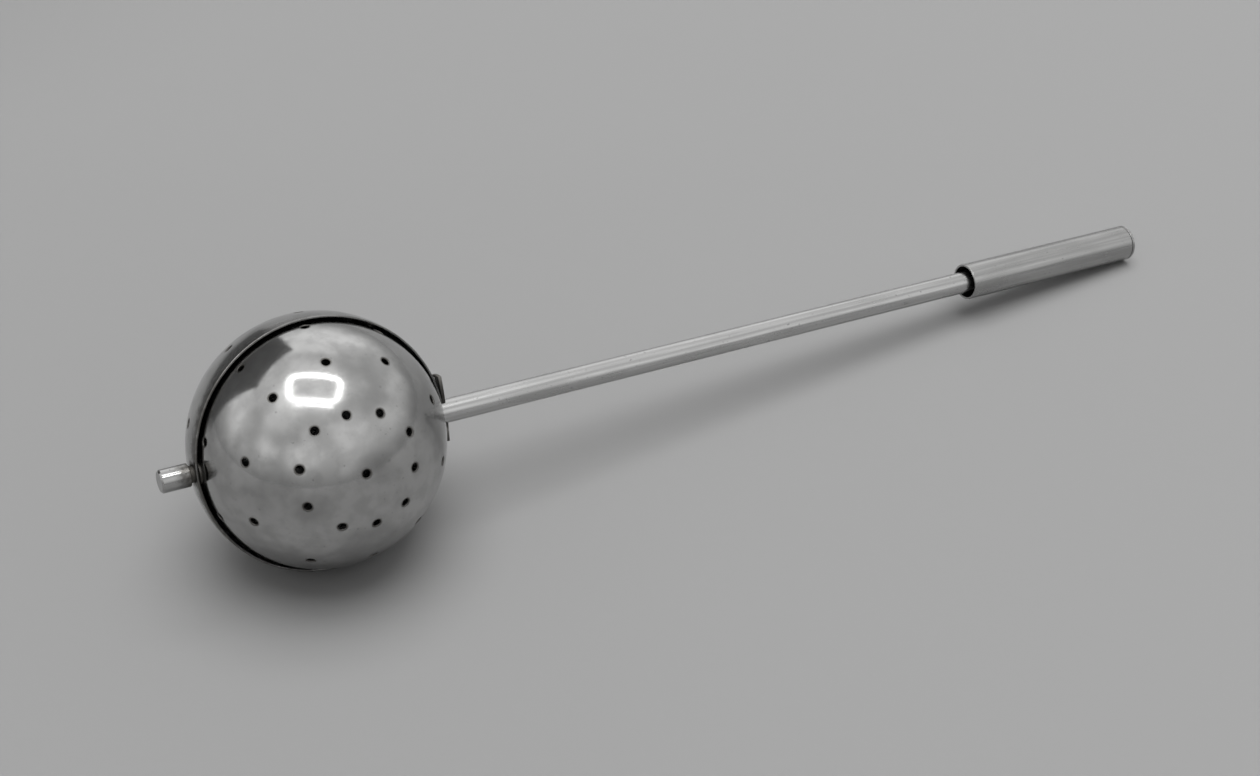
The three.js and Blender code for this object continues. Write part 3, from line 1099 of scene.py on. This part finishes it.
def metal(name):
    """The metal of that name, made the first time that it is asked for."""
    if name in bpy.data.materials:
        return bpy.data.materials[name]
    material = bpy.data.materials.new(name)
    shade = bare_tree(material)
    spot = shade.make("ShaderNodeAttribute", {"attribute_name": "spot"}, output="Vector")
    grime_and_shade = shade.make("ShaderNodeAttribute", {"attribute_name": "grime_and_shade"}, output="Fac")
    finish = bpy.context.scene.tea_ball_finish
    colour, roughness, height = PAINTS[name](finish, spot, grime_and_shade)
    bump = shade.make("ShaderNodeBump", None, {"Distance": 1.0, "Height": height})
    values = {"Base Color": colour, "Metallic": 1.0, "Roughness": roughness, "Normal": bump}
    surface = shade.make("ShaderNodeBsdfPrincipled", None, values)
    shade.make("ShaderNodeOutputMaterial", None, {"Surface": surface})
    return material


class BuildOuterHalf(bpy.types.Operator):
    """Builds the fixed half of the ball, with its notch for the tube and hole for the far bush"""

    bl_idname = "tea_ball.outer_half"
    bl_label = "Outer half shell"

    def execute(self, context):
        shape = context.scene.tea_ball_shape
        radius = BALL_RADIUS - SMOOTH_ALLOWANCE
        grime_and_shade = OUTER_RIM_SHADE, OUTER_RIM_REACH
        shell = half_shell(shape, radius, OUTER_PAST_AXIS, (TUBE_NOTCH, 0), *grime_and_shade, BUSH_HOLE)
        shell.piece(
            "polished_outer_half", HANDLE, "polished_plate", metal("ball_plate"), "outer_half_shell"
        )
        return {"FINISHED"}


class BuildInnerHalf(bpy.types.Operator):
    """Builds the half of the ball that swings inside the other"""

    bl_idname = "tea_ball.inner_half"
    bl_label = "Inner half shell"

    def execute(self, context):
        shape = context.scene.tea_ball_shape
        radius = INNER_RADIUS - SMOOTH_ALLOWANCE
        notches = TURNING_NOTCH, TURNING_NOTCH
        grime_and_shade = INNER_RIM_SHADE, INNER_RIM_REACH
        shell = half_shell(shape, radius, INNER_PAST_AXIS, notches, *grime_and_shade)
        # The pole comes round from +Y to -Y, about X.
        shell.moved(Matrix.Rotation(math.pi, 4, "X"))
        shell.piece(
            "polished_inner_half", TURNING, "polished_plate", metal("ball_plate"), "inner_half_shell"
        )
        return {"FINISHED"}


def on_strap(spot, depth):
    """A spot of the strap's flat map, which is drawn in Y and Z, at a depth below its face."""
    outside = STRAP_BEND_RADIUS + STRAP_SHEET
    lean = math.asin(spot.y / outside)
    bend_centre = BALL_RADIUS + STRAP_LIFT - STRAP_BEND_RADIUS
    along = bend_centre + (outside - depth) * math.cos(lean)
    return Vector((along, spot.x, (outside - depth) * math.sin(lean)))


def trimmed_disc(radius, near, far, bite):
    """The outline of a disc that is trimmed on two sides, with a round bite for the tube."""
    middle = Vector((0, STRAP_RISE))

    def bows(inset):
        """The outline's three round stretches, in order."""
        disc, notch = radius - inset, bite + inset
        near_turn, far_turn = math.acos((near + inset) / disc), math.acos((far - inset) / disc)
        notch_turn = math.acos((near + inset) / notch)
        top = [middle + spot for spot in arc(disc, far_turn, near_turn, ROUND_SIDES // 4)]
        notched = arc(notch, notch_turn, -notch_turn, ROUND_SIDES // 2)
        bottom = [middle + spot for spot in arc(disc, -near_turn, -far_turn, ROUND_SIDES // 4)]
        return top, notched, bottom

    def straights(inset):
        """The round stretches that each straight one joins."""
        top, notched, bottom = bows(inset)
        return (top, notched), (notched, bottom), (bottom, top)

    # The same counts at every inset, so that the edge's rings match
    counts = [
        math.ceil((after[0] - before[-1]).length / FILL_SPACING) for before, after in straights(0)
    ]

    def loop(inset):
        line = []
        for (before, after), sides in zip(straights(inset), counts):
            line += before + [before[-1].lerp(after[0], i / sides) for i in range(1, sides)]
        return line

    return loop


def strap_sheet(edge, near, bite, place, thickness, rounding):
    """A sheet in the strap's outline, kept in from it by an edge, and darker at its edges and on its
    back, with dirt and painted shade.
    """
    radius, far = STRAP_DIAMETER / 2 - edge, STRAP_WIDTH - STRAP_PAST_AXIS - edge
    middle = Vector((0, STRAP_RISE))
    margin = rounding + FILL_SPACING / 2
    count = math.ceil(radius / FILL_SPACING)
    fill = []
    for i in range(-count, count + 1):
        for j in range(-2 * count, 2 * count + 1):
            spot = Vector((i, j)) * FILL_SPACING
            off_edge = near + margin < spot.x < far - margin
            in_disc = (spot - middle).length < radius - margin
            if off_edge and in_disc and spot.length > bite + margin:
                fill.append(spot)

    def inside(spot):
        return spot.length > EDGE_SHARE * (bite + rounding)

    def grime_and_shade(spot):
        inwards = min(spot.x - near, far - spot.x, radius - (spot - middle).length)
        share = min(max(inwards / STRAP_EDGE_REACH, 0), 1)
        return STRAP_EDGE_DIRT_AND_SHADE + (STRAP_FACE_DIRT_AND_SHADE - STRAP_EDGE_DIRT_AND_SHADE) * share

    loop = trimmed_disc(radius, near, far, bite)
    return sheet([loop], fill, inside, place, thickness, rounding, grime_and_shade, STRAP_EDGE_DIRT_AND_SHADE)


def solder_bead():
    """Solder in the corner between tube and strap, which runs out to nothing at both ends."""
    face = on_strap(Vector((0, 0)), 0).x
    bow = arc(SOLDER_FILLET, math.pi, 3 * math.pi / 2, CORNER_STEPS)
    hollow = [(SOLDER_FILLET + spot.x, SOLDER_FILLET + spot.y) for spot in bow]
    corners = [(-SOLDER_SINK, -SOLDER_SINK), (-SOLDER_SINK, SOLDER_FILLET), *hollow]
    profile = rounded(corners + [(SOLDER_FILLET, -SOLDER_SINK)], FINE_ROUNDING, closed=True)
    bead = Skin()
    rings = []
    for step in range(ROUND_SIDES + 1):
        share = 2 * step / ROUND_SIDES - 1
        turn, size = SOLDER_REACH * share, math.sqrt(1 - share * share)
        y, z = math.cos(turn), math.sin(turn)
        ring = []
        for along, out, normal_along, normal_out in profile if size else profile[:1]:
            radius = TUBE.radius + size * out
            place = (face + size * along, radius * y, radius * z)
            ring.append(bead.point(place, (normal_along, normal_out * y, normal_out * z)))
        rings.append(ring if size else ring * len(profile))
    for near, far in zip(rings, rings[1:]):
        bead.band(near, far)
    return bead


class BuildRootStrap(bpy.types.Operator):
    """Builds the bowed strap at the tube's root, and the solder that holds it and the tube"""

    bl_idname = "tea_ball.root_strap"
    bl_label = "Root strap"

    def execute(self, context):
        bite = TUBE.radius + FINE_ROUNDING / 3
        near = -STRAP_PAST_AXIS
        strap = strap_sheet(0.0, near, bite, on_strap, STRAP_SHEET, STRAP_ROUNDING)
        strap.piece("satin_strap", HANDLE, "satin_plate", metal("tube_satin"), "root_strap")

        def under_strap(spot, depth):
            top = on_strap(spot, STRAP_SHEET)
            ball = math.sqrt((BALL_RADIUS - SOLDER_SINK) ** 2 - top.y**2 - top.z**2)
            return Vector((top.x + (ball - top.x) * depth / STRAP_SHEET, top.y, top.z))

        bed = strap_sheet(SOLDER_EDGE, SOLDER_EDGE, bite, under_strap, STRAP_SHEET, FINE_ROUNDING)
        solder = solder_bead().add(bed)
        solder.piece("root_solder", HANDLE, "satin_plate", metal("soft_solder"))
        return {"FINISHED"}


class BuildHandleTube(bpy.types.Operator):
    """Builds the long tube that the grip turns round"""

    bl_idname = "tea_ball.handle_tube"
    bl_label = "Handle tube"

    def execute(self, context):
        profile = tube_profile(TUBE.bore, TUBE.radius, TUBE.start, TUBE.end)
        tube = turned(profile, closed=True)
        tube.piece("satin_tube", HANDLE, "satin_plate", metal("tube_satin"), "handle_tube")
        return {"FINISHED"}


class BuildGrip(bpy.types.Operator):
    """Builds the grip's thin sleeve and the plug that closes it and carries a stop lug"""

    bl_idname = "tea_ball.grip"
    bl_label = "Grip"

    def execute(self, context):
        # The sleeve's bore is painted darker, as painted shade in its mouth.
        def sleeve_shade(along, radius):
            return MOUTH_SHADE if radius < SLEEVE.bore + FINE_ROUNDING else 0.0

        outside = SLEEVE.radius - ROUND_ALLOWANCE
        profile = tube_profile(SLEEVE.bore, outside, SLEEVE.start, SLEEVE.end)
        sleeve = turned(profile, 2 * TURNED_ROUNDING, closed=True, grime_and_shade=sleeve_shade)
        sleeve.piece("satin_grip", TURNING, "satin_plate", metal("grip_satin"), "grip_sleeve")

        start = PLUG.start + STOP_HEIGHT
        head = PLUG.end - PLUG_HEAD
        bore_end = PLUG.end - PLUG_CAP
        fitted = SLEEVE.bore - FIT_GAP
        plug = turned([
            (bore_end, 0),
            (bore_end, ROD_HOLE),
            (start, ROD_HOLE),
            (start, fitted),
            (head, fitted),
            (head, outside),
            (PLUG.end - PLUG_CHAMFER, outside),
            (PLUG.end, outside - PLUG_CHAMFER),
            (PLUG.end, 0),
        ])
        lug_turn = math.tau - OPEN_TURN - STOP_LUG_TURN - 2 * STOP_PLAY
        middle = STOP_LUG_TURN / 2 + STOP_PLAY + lug_turn / 2
        plug.add(stop_lug(middle, lug_turn, start + FINE_ROUNDING, STOP_HEIGHT + FINE_ROUNDING))
        plug.piece("satin_plug", TURNING, "satin_plate", metal("grip_satin"), "grip_plug")
        return {"FINISHED"}


class BuildStub(bpy.types.Operator):
    """Builds the blind stub on the rod's tip, outside the ball"""

    bl_idname = "tea_ball.stub"
    bl_label = "End stub"

    def execute(self, context):
        # The stub's end by the ball is painted dark, as painted shade.
        stub = turned([
            (STUB.start, 0),
            (STUB.start, STUB.radius - STUB_CHAMFER),
            (STUB.start + STUB_CHAMFER, STUB.radius),
            (STUB.end, STUB.radius),
            (STUB.end, ROD_HOLE),
            (STUB.start + STUB_CAP, ROD_HOLE),
            (STUB.start + STUB_CAP, 0),
        ], grime_and_shade=lambda along, radius: STUB_SEAT_SHADE if along > STUB.end - STUB_CHAMFER else 0.0)
        stub.piece("satin_stub", TURNING, "satin_plate", metal("stub_polish"), "end_stub")
        return {"FINISHED"}


class BuildBushes(bpy.types.Operator):
    """Builds the turned bushes in the ball's two sides and in the tube's far end"""

    bl_idname = "tea_ball.bushes"
    bl_label = "Bushes"

    def execute(self, context):
        nickel = metal("nickel_silver")
        pressed = TUBE.bore - FIT_GAP
        near = turned([
            (NEAR_BUSH.start, NEAR_BUSH.bore),
            (NEAR_BUSH.start, NEAR_BUSH.radius),
            (NEAR_BUSH.start + BUSH_FLANGE, NEAR_BUSH.radius),
            (NEAR_BUSH.start + BUSH_FLANGE, pressed),
            (NEAR_BUSH.end, pressed),
            (NEAR_BUSH.end, NEAR_BUSH.bore),
        ], closed=True)
        near.piece("toned_near_bush", HANDLE, "bearing_nickel_silver", nickel, "near_bush")
        # The far bush is painted dark all over, as painted shade.
        far = turned([
            (FAR_BUSH.start, FAR_BUSH.bore),
            (FAR_BUSH.start, BUSH_PROUD_RADIUS),
            (FAR_BUSH.end - BUSH_FLANGE, BUSH_PROUD_RADIUS),
            (FAR_BUSH.end - BUSH_FLANGE, FAR_BUSH.radius),
            (FAR_BUSH.end, FAR_BUSH.radius),
            (FAR_BUSH.end, FAR_BUSH.bore),
        ], closed=True, grime_and_shade=lambda along, radius: BUSH_SHADE)
        far.piece("toned_far_bush", HANDLE, "bearing_nickel_silver", nickel, "far_bush")

        flange_end = GRIP_BUSH.end - STOP_HEIGHT
        grip = turned([
            (GRIP_BUSH.start, GRIP_BUSH.bore),
            (GRIP_BUSH.start, pressed),
            (flange_end - BUSH_FLANGE, pressed),
            (flange_end - BUSH_FLANGE, GRIP_BUSH.radius),
            (flange_end, GRIP_BUSH.radius),
            (flange_end, GRIP_BUSH.bore),
        ], closed=True)
        grip.add(stop_lug(0, STOP_LUG_TURN, GRIP_BUSH.end, STOP_HEIGHT + FINE_ROUNDING))
        grip.piece("toned_grip_bush", HANDLE, "bearing_nickel_silver", nickel, "grip_bush")
        return {"FINISHED"}


def hub():
    """The hub on the tube's side: a sleeve and a flange that is straight on one side."""
    body = turned(tube_profile(NEAR_HUB.bore, HUB_RADIUS, NEAR_HUB.start, NEAR_HUB.end), closed=True)
    wall = math.sqrt((INNER_RADIUS - SHEET) ** 2 - HUB_FLANGE_RADIUS**2)

    def outline(inset):
        radius = HUB_FLANGE_RADIUS - inset
        start = math.acos((HUB_FLANGE_CUT - inset) / radius)
        return arc(radius, start, math.tau - start, ROUND_SIDES)

    flange = plate(outline, None, wall - HUB_SEAT, HUB_FLANGE_THICKNESS, FINE_ROUNDING)
    return body.add(flange)


def cross_pin(node, name, body):
    """A pin across the axis, along Z."""
    place = span(node)
    pin = turned(rod_profile(PIN_RADIUS, -place.reach, place.reach), sides=PIN_SIDES)
    middle = Matrix.Translation(((place.start + place.end) / 2, 0, 0))
    pin.moved(middle @ Matrix.Rotation(-math.pi / 2, 4, "Y"))
    pin.piece(name, body, "rod_steel", metal("drawn_steel"), node)


class BuildDrive(bpy.types.Operator):
    """Builds the rod through tube and ball, its hubs and the pins that hold them"""

    bl_idname = "tea_ball.drive"
    bl_label = "Rod, hubs and pins"

    def execute(self, context):
        rod = turned(rod_profile(ROD.radius, ROD.start, ROD.end), 2 * TURNED_ROUNDING)
        rod.piece("steel_rod", TURNING, "rod_steel", metal("drawn_steel"), "drive_rod")
        nickel = metal("nickel_silver")
        hub().piece("toned_near_hub", TURNING, "bearing_nickel_silver", nickel, "near_hub")
        far = hub().moved(Matrix.Rotation(math.pi, 4, "Y"))
        far.piece("toned_far_hub", TURNING, "bearing_nickel_silver", nickel, "far_hub")
        for place in ("near_hub", "far_hub", "grip"):
            cross_pin(f"{place}_pin", f"steel_{place}_pin", TURNING)
        return {"FINISHED"}


class BuildWashers(bpy.types.Operator):
    """Builds the wave washer that drags on the near hub and the plain one at the far hub"""

    bl_idname = "tea_ball.washers"
    bl_label = "Washers"

    def execute(self, context):
        steel = metal("drawn_steel")
        bore, radius = WAVE_WASHER.bore, WAVE_WASHER.radius
        middle = (WAVE_WASHER.start + WAVE_WASHER.end) / 2
        rise = (WAVE_WASHER.end - WAVE_WASHER.start - WAVE_SHEET) / 2

        def wave(spot):
            return rise * math.sin(WAVES * math.atan2(spot.y, spot.x))

        def outline(inset):
            return circle(radius)(-inset)

        fill = circle((bore + radius) / 2)(0)
        front = middle + WAVE_SHEET / 2
        waved = plate(outline, bore, front, WAVE_SHEET, FINE_ROUNDING, fill, wave)
        waved.piece("steel_wave_washer", TURNING, "rod_steel", steel, "wave_washer")
        ends = THRUST_WASHER.start, THRUST_WASHER.end
        flat = turned(tube_profile(bore, radius, *ends), FINE_ROUNDING, closed=True)
        flat.piece("steel_thrust_washer", TURNING, "rod_steel", steel, "thrust_washer")
        return {"FINISHED"}


# The lamp's rectangular ring and the rounding of its corners, as shares of its height: to
# the right and away from the camera
LAMP_OUTER_SHARES = ((-0.37, -0.24), (0.41, 0.23))
LAMP_INNER_SHARES = ((-0.31, -0.196), (0.355, 0.166))
LAMP_OUTER_CORNER_SHARE = 0.13
LAMP_INNER_CORNER_SHARE = 0.08
LAMP_CORNER_SIDES = 8

# The thin tube beside the lamp's nearest one, and the rounding of its ends
THIN_TUBE_SHARES = ((-0.29, -0.316), (0.33, -0.296))
THIN_TUBE_CORNER_SHARE = 0.009

# How far the soft light leans from overhead, to the right of the ball and beyond it
SOFT_LIGHT_LEAN = 0.04, 0.03

# Where the room's walls are brightest, from the camera's right, and how fine its patches are
BRIGHT_TURN = math.radians(120)
PATCHES_IN_ROOM = 1.7
PATCH_EDGES = 0.4, 0.6

# Between which heights the room changes, from -1 straight down to 1 overhead: the light
# that it gives, its walls, its ceiling and its patches
LIGHT_RISE = -0.1, 0.9
WALL_RISE = -0.05, 0.45
CEILING_RISE = 0.78, 0.95
PATCH_RISE = 0.0, 0.3

# The dark card: how far round it stands from the camera's right, and its sizes
CARD_TURN = math.radians(140)
CARD_DISTANCE = 0.30
CARD_WIDTH = 0.29
CARD_HEIGHT = 0.35
CARD_ROUGHNESS = 1.0

FLOOR_REACH = 4.0
FLOOR_ROUGHNESS = 0.9
CAMERA_CLIP_START = 0.01


def rounded_rectangle(low, high, corner):
    """The points of a rectangle with rounded corners, from its lowest and highest corners."""
    left, right = low[0] + corner, high[0] - corner
    bottom, top = low[1] + corner, high[1] - corner
    line = []
    for quarter, middle in enumerate(((right, top), (left, top), (left, bottom), (right, bottom))):
        start = quarter * math.pi / 2
        bow = arc(corner, start, start + math.pi / 2, LAMP_CORNER_SIDES)
        line += [Vector(middle) + spot for spot in bow]
    return line


def flat_stage_piece(name, points, faces, material, seen=True):
    """A flat thing of the stage, which the camera need not see."""
    mesh = bpy.data.meshes.new(name)
    mesh.from_pydata(points, [], faces)
    mesh.materials.append(material)
    obj = bpy.data.objects.new(name, mesh)
    bpy.context.scene.collection.objects.link(obj)
    obj.visible_camera = seen
    return obj


def plain_material(name, kind, values):
    """A material of one shader, for the stage."""
    material = bpy.data.materials.new(name)
    shade = bare_tree(material)
    surface = shade.make(kind, None, values)
    shade.make("ShaderNodeOutputMaterial", None, {"Surface": surface})
    return material


class BuildStage(bpy.types.Operator):
    """Sets the floor, the lamp, the dark card, the room's light and the camera"""

    bl_idname = "tea_ball.stage"
    bl_label = "Stage"

    def execute(self, context):
        stage = context.scene.tea_ball_stage
        turn, pitch = stage.camera_turn, stage.camera_pitch
        right = Vector((math.cos(turn), -math.sin(turn), 0))
        heading = Vector((math.sin(turn), math.cos(turn), 0))
        upright = Vector((0, 0, 1))

        floor_level = CAD_BOX[0].z
        floor_points = [
            (x * FLOOR_REACH, y * FLOOR_REACH, floor_level)
            for x, y in ((-1, -1), (1, -1), (1, 1), (-1, 1))
        ]
        floor_paint = {"Base Color": (*stage.floor_colour, 1), "Roughness": FLOOR_ROUGHNESS}
        floor_material = plain_material("pale_floor", "ShaderNodeBsdfPrincipled", floor_paint)
        flat_stage_piece("floor", floor_points, [(0, 1, 2, 3)], floor_material)

        lamp_ring = rounded_rectangle(*LAMP_OUTER_SHARES, LAMP_OUTER_CORNER_SHARE)
        around = len(lamp_ring)
        lamp_ring += rounded_rectangle(*LAMP_INNER_SHARES, LAMP_INNER_CORNER_SHARE)
        lamp_faces = [
            (i, (i + 1) % around, around + (i + 1) % around, around + i) for i in range(around)
        ]
        thin_tube = rounded_rectangle(*THIN_TUBE_SHARES, THIN_TUBE_CORNER_SHARE)
        lamp_faces.append(tuple(range(len(lamp_ring), len(lamp_ring) + len(thin_tube))))
        lamp_points = [
            BALL_CENTRE + stage.lamp_height * (right * share.x + heading * share.y + upright)
            for share in lamp_ring + thin_tube
        ]
        glow = {"Strength": stage.lamp_strength}
        lamp_material = plain_material("lamp_tubes", "ShaderNodeEmission", glow)
        lamp = flat_stage_piece("lamp", lamp_points, lamp_faces, lamp_material, seen=False)
        lamp.visible_diffuse = False

        soft_light = bpy.data.lights.new("soft_light", "SUN")
        soft_light.energy = stage.soft_light_strength
        soft_light.angle = stage.soft_light_spread
        light = bpy.data.objects.new("soft_light", soft_light)
        to_right, beyond = SOFT_LIGHT_LEAN
        comes_from = right * to_right + heading * beyond + upright
        light.rotation_euler = comes_from.to_track_quat("Z", "Y").to_euler()
        light.visible_glossy = False
        context.scene.collection.objects.link(light)

        towards = right * math.cos(CARD_TURN) + heading * math.sin(CARD_TURN)
        aside = towards.cross(upright) * CARD_WIDTH / 2
        foot = Vector((BALL_CENTRE.x, BALL_CENTRE.y, floor_level)) + towards * CARD_DISTANCE
        card_points = [
            foot - aside,
            foot + aside,
            foot + aside + upright * CARD_HEIGHT,
            foot - aside + upright * CARD_HEIGHT,
        ]
        card_paint = {"Base Color": (*stage.card_colour, 1), "Roughness": CARD_ROUGHNESS}
        card_material = plain_material("dark_card", "ShaderNodeBsdfPrincipled", card_paint)
        flat_stage_piece("card", card_points, [(0, 1, 2, 3)], card_material, seen=False)

        world = bpy.data.worlds.new("room")
        shade = bare_tree(world)
        way = shade.make("ShaderNodeTexCoord", output="Generated")
        x, y, z = way.parts()
        bright_side = right * math.cos(BRIGHT_TURN) + heading * math.sin(BRIGHT_TURN)
        behind = x * bright_side.x + y * bright_side.y
        sky = stage.light_low + (stage.light_high - stage.light_low) * z.rise(*LIGHT_RISE)
        wall = (stage.room_wall + stage.room_swing * behind - stage.room_low) * z.rise(*WALL_RISE)
        room = stage.room_low + wall + (stage.room_high - stage.room_wall) * z.rise(*CEILING_RISE)
        patches = (way.noise(PATCHES_IN_ROOM, 2).rise(*PATCH_EDGES) - 0.5) * z.rise(*PATCH_RISE)
        room = room * (1 + stage.room_unevenness * patches)
        in_metal = shade.make("ShaderNodeLightPath", output="Is Glossy Ray")
        glow = sky + (room - sky) * in_metal
        background = shade.make("ShaderNodeBackground", None, {"Strength": glow})
        shade.make("ShaderNodeOutputWorld", None, {"Surface": background})
        context.scene.world = world

        ahead = heading * math.cos(pitch) - upright * math.sin(pitch)
        above = heading * math.sin(pitch) + upright * math.cos(pitch)
        to_right, to_top, away = stage.ball_in_view
        lens = bpy.data.cameras.new("camera")
        lens.lens = stage.focal_length
        lens.clip_start = CAMERA_CLIP_START
        camera = bpy.data.objects.new("camera", lens)
        camera.matrix_world = Matrix((right, above, -ahead)).transposed().to_4x4()
        camera.location = BALL_CENTRE - right * to_right - above * to_top - ahead * away
        context.scene.collection.objects.link(camera)
        context.scene.camera = camera
        context.scene.view_settings.view_transform = "Standard"
        return {"FINISHED"}


GROUPS = {
    "tea_ball_shape": TeaBallShape,
    "tea_ball_finish": TeaBallFinish,
    "tea_ball_stage": TeaBallStage,
}

OPERATORS = (
    BuildOuterHalf,
    BuildInnerHalf,
    BuildRootStrap,
    BuildHandleTube,
    BuildGrip,
    BuildStub,
    BuildBushes,
    BuildDrive,
    BuildWashers,
    BuildStage,
)


class TeaBallPanel(bpy.types.Panel):
    """Lists the tea ball's settings and the pieces that can be built"""

    bl_idname = "VIEW3D_PT_tea_ball"
    bl_label = "Tea Ball"
    bl_space_type = "VIEW_3D"
    bl_region_type = "UI"
    bl_category = "Tea Ball"

    def draw(self, context):
        for name, group in GROUPS.items():
            box = self.layout.box()
            for setting in group.__annotations__:
                box.prop(getattr(context.scene, name), setting)
        for operator in OPERATORS:
            self.layout.operator(operator.bl_idname)


def register():
    for group in (*GROUPS.values(), *OPERATORS, TeaBallPanel):
        bpy.utils.register_class(group)
    for name, group in GROUPS.items():
        setattr(bpy.types.Scene, name, PointerProperty(type=group))


def unregister():
    for name in GROUPS:
        delattr(bpy.types.Scene, name)
    for group in (TeaBallPanel, *reversed(OPERATORS), *GROUPS.values()):
        bpy.utils.unregister_class(group)


def main():
    """Builds every piece and the stage."""
    register()
    for operator in OPERATORS:
        group, action = operator.bl_idname.split(".")
        getattr(getattr(bpy.ops, group), action)()


if __name__ == "__main__":
    main()
